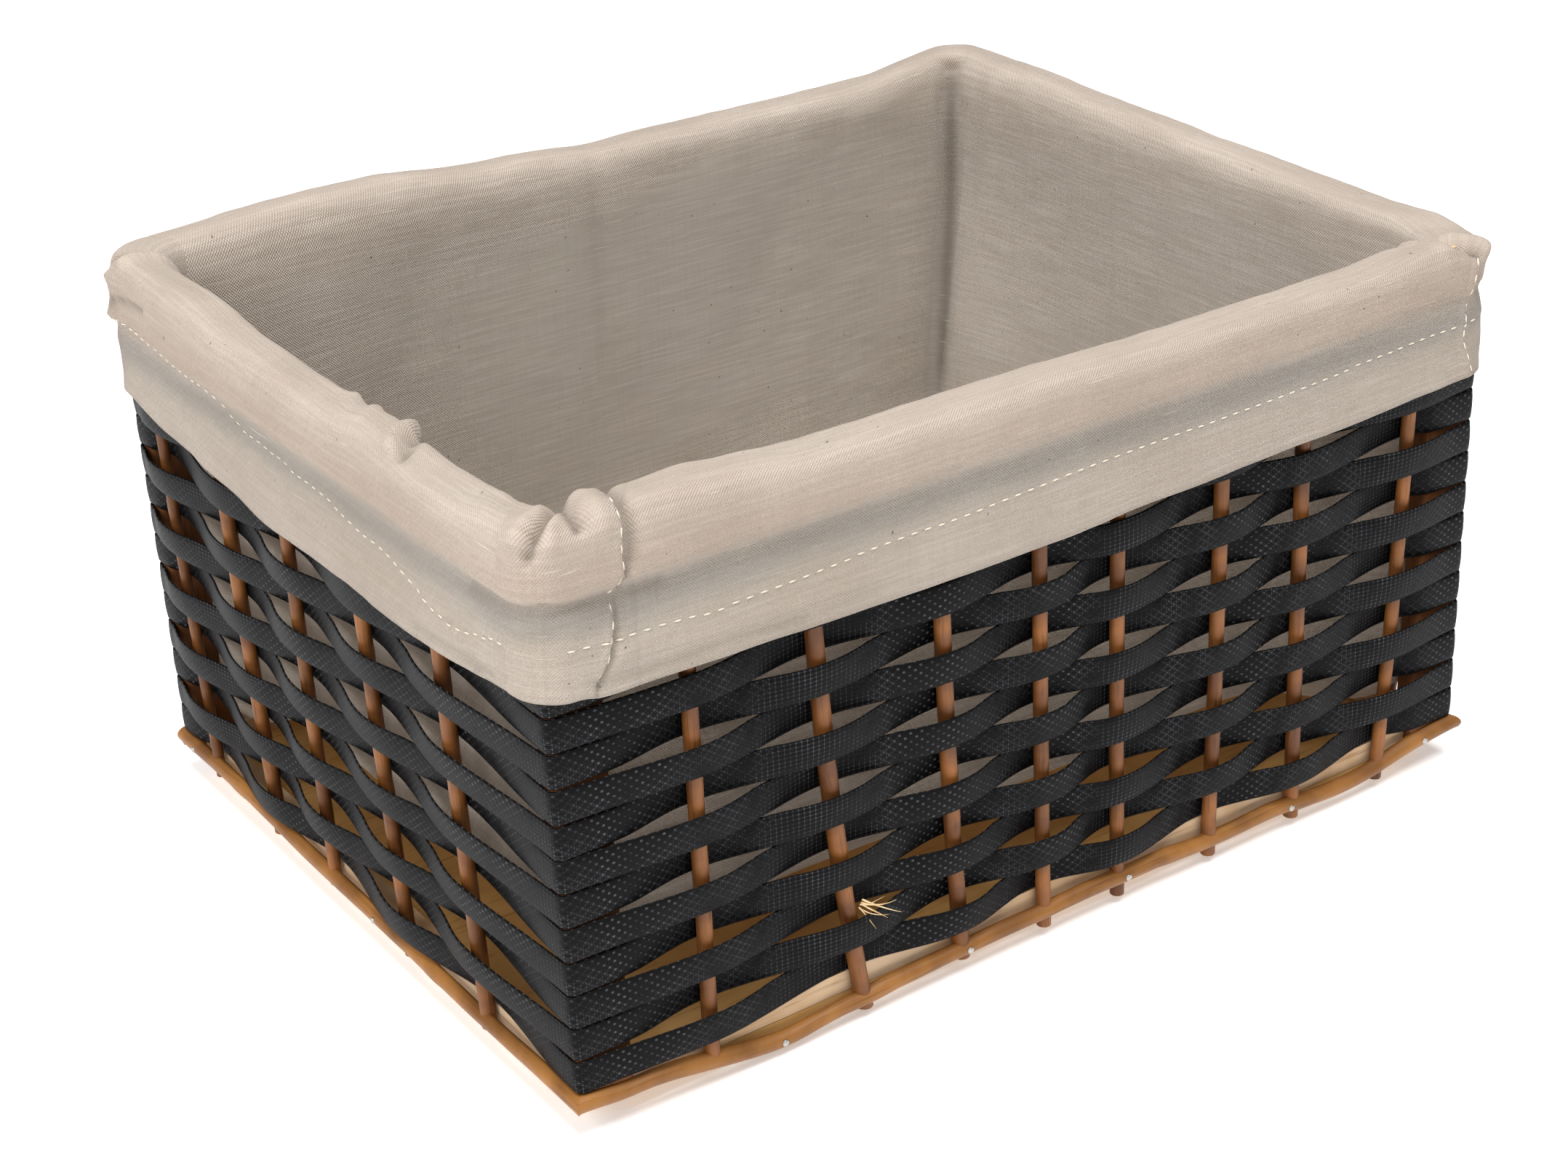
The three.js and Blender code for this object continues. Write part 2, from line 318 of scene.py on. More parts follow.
strap_section = [(1, v) for v in (-0.9, -0.54, -0.18, 0.18, 0.54, 0.9)] + [(0.3, 1)]
strap_section += [(-1, v) for v in (0.9, 0.3, -0.3, -0.9)] + [(0.3, -1)]
STAKE_INSET = 1.5 * MM
stake_lines = {
    side: [stake_line(side, number + 1) for number in range(count)]
    for side, count in zip(SIDES, STAKE_COUNTS)
}

# Black polypropylene strap, rolled between patterned rollers: a dull sheen, with the raised dots and net
# lines painted a little greyer in patches, partly as wear and partly as painted highlight, and slight
# clouding along its length.
strap_plastic, strap_shader = new_material("rolled_polypropylene_strap")
strap_place = add_node(strap_plastic, "UVMap", uv_map="surface")
strap_axes = add_node(strap_plastic, "SeparateXYZ", {0: strap_place.outputs["UV"]})
dot_waves = []
for axis, period in (("X", DOT_PERIOD), ("Y", DOT_ROWS)):
    scaled = add_node(
        strap_plastic,
        "Math",
        {0: strap_axes.outputs[axis], 1: 2 * math.pi / period},
        operation="MULTIPLY",
    )
    dot_waves.append(add_node(strap_plastic, "Math", {0: scaled.outputs[0]}, operation="COSINE"))
dots = add_node(
    strap_plastic,
    "Math",
    {0: dot_waves[0].outputs[0], 1: dot_waves[1].outputs[0]},
    operation="MULTIPLY",
)
dot_tops = add_node(
    strap_plastic,
    "MapRange",
    {"Value": dots.outputs[0], "From Min": 0.42, "From Max": 0.85},
    interpolation_type="SMOOTHSTEP",
)
net_depth = add_node(strap_plastic, "Math", {0: dots.outputs[0]}, operation="ABSOLUTE")
net_lines = add_node(
    strap_plastic,
    "MapRange",
    {"Value": net_depth.outputs[0], "From Min": 0.2, "From Max": 0.02},
    interpolation_type="SMOOTHSTEP",
)
roller_wear = add_node(
    strap_plastic,
    "TexNoise",
    {"Vector": strap_place.outputs["UV"], "Scale": 16.0, "Detail": 1.0},
)
net_share = add_node(
    strap_plastic,
    "MapRange",
    {"Value": roller_wear.outputs["Fac"], "From Min": 0.42, "From Max": 0.58},
)
emboss = add_node(
    strap_plastic,
    "Mix",
    {0: net_share.outputs["Result"], 2: dot_tops.outputs["Result"], 3: net_lines.outputs["Result"]},
)
wear_and_sheen_noise = add_node(
    strap_plastic,
    "TexNoise",
    {"Vector": strap_place.outputs["UV"], "Scale": 90.0, "Detail": 4.0, "Roughness": 0.65},
)
wear_and_sheen_share = add_node(
    strap_plastic,
    "MapRange",
    {"Value": wear_and_sheen_noise.outputs["Fac"], "From Min": 0.35, "From Max": 0.7},
)
# Painted highlight and wear: the raised dots and net lines are lightened towards grey in patches.
emboss_wear_and_sheen = add_node(
    strap_plastic,
    "Math",
    {0: emboss.outputs[0], 1: wear_and_sheen_share.outputs["Result"]},
    operation="MULTIPLY",
)
strap_colour = mixed(strap_plastic, emboss_wear_and_sheen.outputs[0], "#080809", "#58585c")
link(strap_plastic, strap_colour, strap_shader.inputs["Base Color"])
strap_gloss = add_node(
    strap_plastic,
    "MapRange",
    {"Value": wear_and_sheen_noise.outputs["Fac"], "To Min": 0.4, "To Max": 0.6},
)
link(strap_plastic, strap_gloss.outputs["Result"], strap_shader.inputs["Roughness"])
strap_bump = add_node(
    strap_plastic,
    "Bump",
    {"Height": emboss.outputs[0], "Strength": 1.0, "Distance": 0.4 * MM},
)
link(strap_plastic, strap_bump.outputs["Normal"], strap_shader.inputs["Normal"])
strap_shader.inputs["IOR"].default_value = 1.49
strap_shader.inputs["Specular IOR Level"].default_value = 0.08

for row in range(ROW_COUNT):
    node = f"band_row_{row + 1:02d}"
    low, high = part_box(node)
    height = (low.z + high.z) / 2
    plan = strap_plan(row, height, stake_lines)
    around = [0.0]
    for (spot, _, _), (after, _, _) in zip(plan, plan[1:] + plan[:1]):
        around.append(around[-1] + (after - spot).length)
    lean = [
        STRAP_LEAN * noise.noise(Vector((spot.x * 14, spot.y * 14, row * 7.3))) for spot, _, _ in plan
    ]
    tip_out = STRAP_TIP_OUT if height < SKIRT_FOOT else 0
    lift = [
        STRAP_RISE * noise.noise(Vector((spot.x * 18 + 40, spot.y * 18, row * 3.1)))
        for spot, _, _ in plan
    ]
    rings = []
    for face, up in strap_section:
        crown = STRAP_CROWN * (1 - up * up)
        ring = []
        for (spot, out, ahead), tip, rise in zip(plan, lean, lift):
            proud = STRAP_HALF_THICKNESS * face + crown + tip * up * STRAP_HALF_WIDTH
            proud += tip_out * ahead * (1 + up) / 2
            ring.append(spot + out * proud + Vector((0, 0, height + up * STRAP_HALF_WIDTH + rise)))
        rings.append(ring)
    across = [up * STRAP_HALF_WIDTH for _, up in strap_section]
    strap = drawn_out(f"strap_row_{row + 1:02d}", rings, around, across, ends="joined")
    strap.data.materials.append(strap_plastic)
    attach(strap, "basket")
    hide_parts(node)

# Willow stakes: peeled withies 4 to 6 mm thick, stained and varnished orange brown, eight on each long
# side and five on each short one. They stand between the straps with their tops held in the rim. Their
# sawn feet are uneven: those of the front and left end above the ground, and the others at or near it.
def grained_wood(name, tones, stretch, streak=900.0, gloss=0.5, mottle=0.5, across_z=False):
    """Wood with streaks drawn out along the grain, dark pores and clouding. tones: pale, deep, dark."""
    wood, shader = new_material(name)
    if across_z:
        place = add_node(wood, "TexCoord").outputs["Object"]
    else:
        place = add_node(wood, "UVMap", uv_map="surface").outputs["UV"]
    grain = add_node(wood, "Mapping", {"Vector": place, "Scale": stretch})
    streaks = add_node(
        wood,
        "TexNoise",
        {"Vector": grain.outputs[0], "Scale": streak, "Detail": 5.0, "Roughness": 0.6},
    )
    clouds = add_node(wood, "TexNoise", {"Vector": place, "Scale": 45.0, "Detail": 3.0})
    cloud_share = add_node(
        wood,
        "MapRange",
        {"Value": clouds.outputs["Fac"], "From Min": 0.35, "From Max": 0.65, "To Max": mottle * 2},
    )
    tone = mixed(wood, cloud_share.outputs["Result"], tones[0], tones[1])
    dark_share = add_node(
        wood,
        "MapRange",
        {"Value": streaks.outputs["Fac"], "From Min": 0.56, "From Max": 0.74, "To Max": 0.75},
    )
    colour = mixed(wood, dark_share.outputs["Result"], tone, tones[2])
    link(wood, colour, shader.inputs["Base Color"])
    rough = add_node(
        wood,
        "MapRange",
        {"Value": streaks.outputs["Fac"], "To Min": gloss - 0.1, "To Max": gloss + 0.2},
    )
    link(wood, rough.outputs["Result"], shader.inputs["Roughness"])
    relief = add_node(
        wood,
        "Bump",
        {"Height": streaks.outputs["Fac"], "Strength": 0.5, "Distance": 0.4 * MM},
    )
    link(wood, relief.outputs["Normal"], shader.inputs["Normal"])
    shader.inputs["IOR"].default_value = 1.5
    shader.inputs["Specular IOR Level"].default_value = 0.35
    return wood


willow = grained_wood("varnished_willow", ("#8a5526", "#5c3413", "#221105"), (1, 0.06, 1), 900.0, 0.46, 0.6)
STAKE_GIRTHS = ((5.5, 6.2, 5.8, 5.2, 5.2, 5.4, 5.6, 5.1), (4.2, 5.4, 4.7, 5.1, 5.4))
STAKE_FEET = {
    "front": (7.0, 3.6, 6.0, 4.0, 3.4, 3.2, 3.6, 4.0),
    "right": (0, 0, 0.5, 0, 0),
    "back": (0, 0.5, 0, 0, 1, 0, 0.5, 0),
    "left": (10, 10, 10, 10, 10),
}
STAKE_POINTS = 14
STAKE_STEP = 3.4 * MM
KNOT_SPREAD = 2.2 * MM
KNOT_RISE = 0.18 * MM
STAKE_SWAY = 0.25 * MM
for side, lines in stake_lines.items():
    turn = SIDES.index(side)
    for number, line in enumerate(lines):
        seed = turn * 9.7 + number * 3.3
        girth = STAKE_GIRTHS[turn % 2][number] / 2 * MM
        knots = [(0.02 + 0.052 * k + 0.03 * noise.noise(Vector((seed, k, 8)))) for k in range(4)]
        foot = STAKE_FEET[side][number] * MM
        tall = line[-1][0] - foot
        steps = round(tall / STAKE_STEP)
        rings = []
        for step in range(steps + 1):
            height = foot + tall * step / steps
            sway = STAKE_SWAY * noise.noise(Vector((seed, height * 22, 0)))
            swell = sum(math.exp(-(((height - knot) / KNOT_SPREAD) ** 2)) for knot in knots)
            ring = []
            for point in range(STAKE_POINTS):
                angle = math.pi / 2 + 2 * math.pi * point / STAKE_POINTS
                ripple = noise.noise(Vector((math.cos(angle) * 2, math.sin(angle) * 2 + seed, height * 60)))
                reach = girth * (1 + 0.035 * ripple) + KNOT_RISE * swell * (1 + math.cos(angle - seed)) / 2
                along = along_at(line, height) + sway + reach * math.cos(angle)
                ring.append(on_side(turn, along, STAKE_INSET + reach * math.sin(angle), height))
            rings.append(ring)
        around = [2 * math.pi * girth * point / STAKE_POINTS for point in range(STAKE_POINTS + 1)]
        across = [seed + tall * step / steps for step in range(steps + 1)]
        stake = drawn_out(f"willow_stake_{side}_{number + 1}", rings, around, across, ends="both")
        stake.data.materials.append(willow)
        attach(stake, "basket")
        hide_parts(f"stake_{side}_{number + 1}")

# Corner posts: sawn softwood battens, stained brown with the arrises rubbed round, one inside each
# corner. The straps turn round them. The back right one reaches the ground, the others end above it.
batten = grained_wood(
    "stained_softwood_batten", ("#7d4d28", "#5f381b", "#331b0c"), (1, 1, 0.06), 700.0, 0.6, across_z=True
)
POST_ARRIS = 1.8 * MM
POST_FEET = {"front_left": 9 * MM, "front_right": 9 * MM, "back_right": 0, "back_left": 9 * MM}
for corner in ("front_left", "front_right", "back_right", "back_left"):
    low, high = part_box(f"corner_post_{corner}")
    low.z = POST_FEET[corner]
    mesh = bmesh.new()
    bmesh.ops.create_cube(mesh, size=1)
    bmesh.ops.scale(mesh, verts=mesh.verts, vec=high - low)
    bmesh.ops.translate(mesh, verts=mesh.verts, vec=(low + high) / 2)
    bmesh.ops.bevel(
        mesh,
        geom=mesh.edges[:],
        offset=POST_ARRIS,
        segments=4,
        profile=0.5,
        affect="EDGES",
        material=-1,
    )
    post = new_object(f"corner_batten_{corner}", mesh)
    post.data.materials.append(batten)
    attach(post, "basket")
    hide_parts(f"corner_post_{corner}")

# Base moulding: a half-round strip of split willow along each side, nailed to the laths outside the
# stakes. It is a natural strip, so it wanders up and down and swells at its knots.
moulding_wood = grained_wood(
    "split_willow_moulding", ("#98662f", "#72481d", "#321b09"), (1, 0.03, 1), 800.0, 0.4, mottle=0.5
)
MOULDING_DEPTH = 4 * MM
MOULDING_HALF_HEIGHT = 3.1 * MM
MOULDING_FLUSH = 1 * MM
MOULDING_POINTS = 12
MOULDING_STEP = 2.5 * MM
MOULDING_WANDER = 0.35 * MM
MOULDING_KNOT_SPREAD = 4 * MM
MOULDING_HEIGHTS = {
    "front": ((0, 14.2), (22, 12.4), (80, 5.4), (106, 7.4), (128, 8.7), (172, 10.0), (203, 10.6),
              (237, 10.7), (262, 9.3), (295, 9.8), (330, 7.4), (391, 14.4)),
    "right": ((0, 14.4), (60, 9.5), (150, 8.6), (240, 9.9), (304, 14.2)),
    "back": ((0, 14.2), (90, 8.8), (200, 10.2), (300, 8.4), (391, 14.0)),
    "left": ((0, 14.4), (43, 15.4), (62, 15.0), (120, 13.6), (166, 13.8), (235, 13.0), (304, 14.0)),
}
MOULDING_KNOTS = {"front": (118, 247, 310), "right": (90, 204), "back": (70, 260), "left": (55, 208)}
moulding_faces = {}
for turn, side in enumerate(SIDES):
    span = side_span(turn)[0]
    back_inset = WIDTH / 2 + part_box("base_moulding_front")[1].y
    heights = [(place * MM, height * MM) for place, height in MOULDING_HEIGHTS[side]]
    steps = round(span / MOULDING_STEP)
    rings = []
    for step in range(steps + 1):
        share = step / steps
        swell = sum(
            math.exp(-(((share * span - knot * MM) / MOULDING_KNOT_SPREAD) ** 2))
            for knot in MOULDING_KNOTS[side]
        )
        fat = 1 + 0.07 * noise.noise(Vector((turn * 5.1, share * span * 30, 2))) + 0.12 * swell
        ring = []
        for point in range(MOULDING_POINTS):
            angle = math.pi * (point / (MOULDING_POINTS - 2) - 0.5)
            out = MOULDING_DEPTH * max(math.cos(angle), 0) * min(fat, 1.04)
            rise = MOULDING_HALF_HEIGHT * math.sin(angle) * fat
            if point == MOULDING_POINTS - 1:
                out = 0
                rise = 0
            past = out + back_inset
            start = MOULDING_FLUSH if side == "left" else past
            finish = MOULDING_FLUSH if side == "back" else past
            along = -start + (span + start + finish) * share
            wander = MOULDING_WANDER * noise.noise(Vector((turn * 3.7, share * span * 45, 6)))
            height = at_place(heights, share * span) + wander + rise
            ring.append(on_side(turn, along, -back_inset - out, height))
        rings.append(ring)
    around = [
        math.pi * MOULDING_HALF_HEIGHT * point / (MOULDING_POINTS - 2)
        for point in range(MOULDING_POINTS + 1)
    ]
    across = [turn * 2.3 + span * step / steps for step in range(steps + 1)]
    moulding = drawn_out(f"willow_moulding_{side}", rings, around, across, ends="both")
    moulding.data.materials.append(moulding_wood)
    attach(moulding, "basket")
    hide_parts(f"base_moulding_{side}")
    moulding_faces[side] = (heights, back_inset)

# Nails: 2.5 mm round heads of zinc plated wire nails, driven through the moulding into the laths.
# Each head is a shallow dome, its edge sunk a little in the wood.
nail_steel, nail_shader = new_material("zinc_plated_nail_head")
nail_wear = add_node(nail_steel, "TexCoord")
nail_spots = add_node(
    nail_steel, "TexNoise", {"Vector": nail_wear.outputs["Object"], "Scale": 1400.0, "Detail": 3.0}
)
nail_colour = mixed(nail_steel, nail_spots.outputs["Fac"], "#c9c8c4", "#8d8a84")
link(nail_steel, nail_colour, nail_shader.inputs["Base Color"])
nail_shader.inputs["Metallic"].default_value = 1.0
nail_shader.inputs["Roughness"].default_value = 0.38
NAIL_RADIUS = 1.25 * MM
NAIL_RISE = 0.5 * MM
NAIL_SUNK = 0.6 * MM
NAIL_PLACES = {
    "front": (77, 154.5, 225.8, 304.9, 374),
    "right": (15, 85, 160, 232, 290),
    "back": (18, 92, 170, 240, 318, 374),
    "left": (14, 166.5),
}
nail_mesh = bmesh.new()
for turn, side in enumerate(SIDES):
    heights, back_inset = moulding_faces[side]
    for place in NAIL_PLACES[side]:
        dome = bmesh.new()
        profile = []
        for step in range(6):
            angle = math.pi / 2 * step / 5
            profile.append(dome.verts.new((NAIL_RADIUS * math.cos(angle), 0, NAIL_RISE * math.sin(angle))))
        edges = [dome.edges.new(pair) for pair in zip(profile, profile[1:])]
        edges.append(dome.edges.new((dome.verts.new((NAIL_RADIUS * 0.98, 0, -NAIL_SUNK)), profile[0])))
        bmesh.ops.spin(
            dome,
            geom=dome.verts[:] + dome.edges[:],
            axis=(0, 0, 1),
            cent=(0, 0, 0),
            angle=2 * math.pi,
            steps=16,
            use_merge=True,
        )
        bmesh.ops.remove_doubles(dome, verts=dome.verts, dist=0.01 * MM)
        bmesh.ops.holes_fill(dome, edges=dome.edges, sides=0)
        bmesh.ops.recalc_face_normals(dome, faces=dome.faces)
        spot = on_side(turn, place * MM, -back_inset - MOULDING_DEPTH, at_place(heights, place * MM))
        out = Matrix.Rotation(turn * math.pi / 2, 3, "Z") @ Vector((0, -1, 0))
        dome.transform(Matrix.Translation(spot) @ out.to_track_quat("Z", "Y").to_matrix().to_4x4())
        data = bpy.data.meshes.new("one_nail")
        dome.to_mesh(data)
        dome.free()
        nail_mesh.from_mesh(data)
        bpy.data.meshes.remove(data)
for face in nail_mesh.faces:
    face.smooth = True
nails = new_object("moulding_nails", nail_mesh)
nails.data.materials.append(nail_steel)
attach(nails, "basket")

# Splinters: a tuft of pale bark fibres that has frayed off the second stake of the front, low down.
# Each is a single curved fibre that thins to its tip.
fibre_wood = grained_wood("frayed_willow_fibre", ("#e6cfa6", "#d3b07c", "#b18652"), (1, 0.1, 1), 900.0, 0.7)
FIBRES = (
    ((110.5, 47.5), (116, 44), (123, 40), 0.34),
    ((110, 46.5), (116, 45), (122, 44.5), 0.3),
    ((110.5, 45.5), (115, 42), (119, 38), 0.32),
    ((109.5, 46), (114, 45.5), (118, 47), 0.25),
    ((109, 45), (111.5, 41), (113, 37), 0.28),
    ((110, 44), (113, 41), (117.5, 41.5), 0.25),
)
FIBRE_STEPS = 9
FIBRE_INSET = -1.4 * MM
for number, (root, bend, tip, thick) in enumerate(FIBRES):
    rings = []
    for step in range(FIBRE_STEPS + 1):
        t = step / FIBRE_STEPS
        along, height = (
            (1 - t) ** 2 * a + 2 * t * (1 - t) * b + t * t * c for a, b, c in zip(root, bend, tip)
        )
        out = FIBRE_INSET - (3.6 + 1.6 * math.sin(2.4 * t + number)) * MM * math.sqrt(t)
        reach = thick * MM * (1 - 0.85 * t)
        ring = []
        for point in range(5):
            angle = 2 * math.pi * point / 5
            ring.append(
                on_side(
                    0,
                    along * MM + 0.6 * reach * math.cos(angle),
                    out + reach * math.sin(angle),
                    height * MM + reach * math.cos(angle),
                )
            )
        rings.append(ring)
    around = [0.4 * MM * point for point in range(6)]
    across = [number * 0.7 + 1.6 * MM * step for step in range(FIBRE_STEPS + 1)]
    fibre = drawn_out(f"splinter_{number + 1}", rings, around, across, ends="both")
    fibre.data.materials.append(fibre_wood)
    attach(fibre, "basket")

# Base board, base laths and rim hoop keep their shapes: thin plywood, planed pale laths round its edge,
# and pale wood inside the stake tops. The rim mouldings are half-round willow strips here, which end
# short of the corners to stay under the rounded cloth.
plywood = grained_wood(
    "golden_plywood", ("#dbae6e", "#c1924f", "#8f6630"), (0.05, 1, 1), 500.0, 0.6, mottle=0.35, across_z=True
)
lath_wood = grained_wood(
    "planed_pale_lath", ("#dcc1a0", "#c9a57e", "#94704c"), (0.05, 0.05, 1), 600.0, 0.65, across_z=True
)


def refinish(node, material):
    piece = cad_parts[node]
    for place in range(len(piece.material_slots)):
        piece.material_slots[place].material = material


RIM_STRIP_SHORT = 17 * MM
RIM_STRIP_STEP = 4 * MM
for turn, side in enumerate(SIDES):
    span = side_span(turn)[0]
    low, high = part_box(f"rim_moulding_{side}")
    deep = -WIDTH / 2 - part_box("rim_moulding_front")[0].y
    back = -WIDTH / 2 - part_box("rim_moulding_front")[1].y
    steps = round(span / RIM_STRIP_STEP)
    rings = []
    for step in range(steps + 1):
        along = RIM_STRIP_SHORT + (span - 2 * RIM_STRIP_SHORT) * step / steps
        ring = []
        for point in range(MOULDING_POINTS):
            angle = math.pi * (point / (MOULDING_POINTS - 2) - 0.5)
            out = (deep - back) * max(math.cos(angle), 0) * (0.97 + 0.03 * math.cos(along * 90))
            rise = (high.z - low.z) / 2 * math.sin(angle)
            if point == MOULDING_POINTS - 1:
                out = 0
                rise = 0
            ring.append(on_side(turn, along, -back - out, (high.z + low.z) / 2 + rise))
        rings.append(ring)
    around = [2.2 * MM * point for point in range(MOULDING_POINTS + 1)]
    across = [turn * 1.9 + RIM_STRIP_STEP * step for step in range(steps + 1)]
    strip = drawn_out(f"willow_rim_strip_{side}", rings, around, across, ends="both")
    strip.data.materials.append(moulding_wood)
    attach(strip, "basket")
    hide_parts(f"rim_moulding_{side}")

refinish("base_board", plywood)
refinish("rim_hoop", lath_wood)
for side in SIDES:
    refinish(f"base_lath_{side}", lath_wood)

# Liner: one bag of thin unbleached calico, sewn up the corners. It hangs inside the basket, is turned
# out over the rim in a soft roll, and ends in a doubled hem that an elastic thread draws in round the
# outside. Nothing fixes it but that thread, so it lifts straight off.
LONG_POINTS = 150
SHORT_POINTS = 116
CORNER_POINTS = 18
END_CROWDING = 0.62
SKIRT_INSET = -4.9
VALLEY_INSET = -3.8
CLOSE_SKIRT = -4.3
CLOSEST_INSET = -3.7
ROLL_OUTER = -7.9
ROLL_INNER = 14.4
ROLL_FOOT = 198.0
BAG_LEAN = -1.4
BAG_FLOOR = 53.0
BAG_BEND = 9.0
FLOOR_SAG = 4.0
CORNER_DROP = 26.0
FLOOR_REACH = 80
CORNER_SPREAD = 50
RIGHT_CORNER_SPREAD = 16
CORNER_SLACK = 1.6
RIGHT_CORNER_FALL = 5.5
CLOTH_THICKNESS = 0.55
HEM_BAND = 7.0

# Heights round the basket in millimetres, as (distance along the side, height) for each side.
HEM_HEIGHTS = {
    "front": ((0, 159.5), (20, 157.6), (102, 156.0), (138, 155.3), (182, 155.2), (236, 157.2), (308, 159.0),
              (391, 161.5)),
    "right": ((0, 161.5), (80, 158), (190, 156), (304, 160)),
    "back": ((0, 160), (120, 156.5), (260, 158.5), (391, 165)),
    "left": ((0, 166), (50, 161), (94, 157.4), (128, 154.2), (172, 155.2), (237, 154.6),
             (284, 158.6), (304, 160)),
}
CREST_HEIGHTS = {
    "front": ((0, 215.5), (26, 217), (44, 217), (62, 215.4), (98, 212.6), (186, 212.8), (217, 211.0),
              (273, 210.6), (330, 211.2), (372, 213.5), (391, 214)),
    "right": ((0, 214), (50, 211.5), (118, 214.0), (203, 216.5), (264, 219), (304, 219)),
    "back": ((0, 219), (60, 213), (180, 213.5), (235, 217), (290, 221.5), (330, 221.5), (391, 219)),
    "left": ((0, 219), (16, 219.5), (62, 219), (104, 215.4), (140, 214.2), (180, 213.6), (208, 216.4),
             (226, 214), (244, 211.8), (268, 212.2), (287, 214.5), (304, 215.5)),
}
SEAM_HEIGHTS = {
    "front": ((0, 178.5), (20, 177), (62, 175), (130, 177), (240, 180), (391, 184)),
    "right": ((0, 184), (150, 181), (304, 184)),
    "back": ((0, 184), (200, 182), (391, 190)),
    "left": ((0, 199), (13, 198), (82, 193), (120, 186.5), (163, 184.3), (208, 180),
             (260, 172.6), (304, 178.5)),
}


def spot_of(turn, along, inset, height):
    """A place in millimetres."""
    return on_side(turn, along * MM, inset * MM, 0) / MM + Vector((0, 0, height))


def front(along, inset, height):
    return spot_of(0, along, inset, height)


def left_side(from_near_corner, inset, height):
    return spot_of(3, 304 - from_near_corner, inset, height)


def back_wall(x, inset, height):
    return spot_of(2, 391 - x, inset, height)


def right_wall(y, inset, height):
    return spot_of(1, y, inset, height)


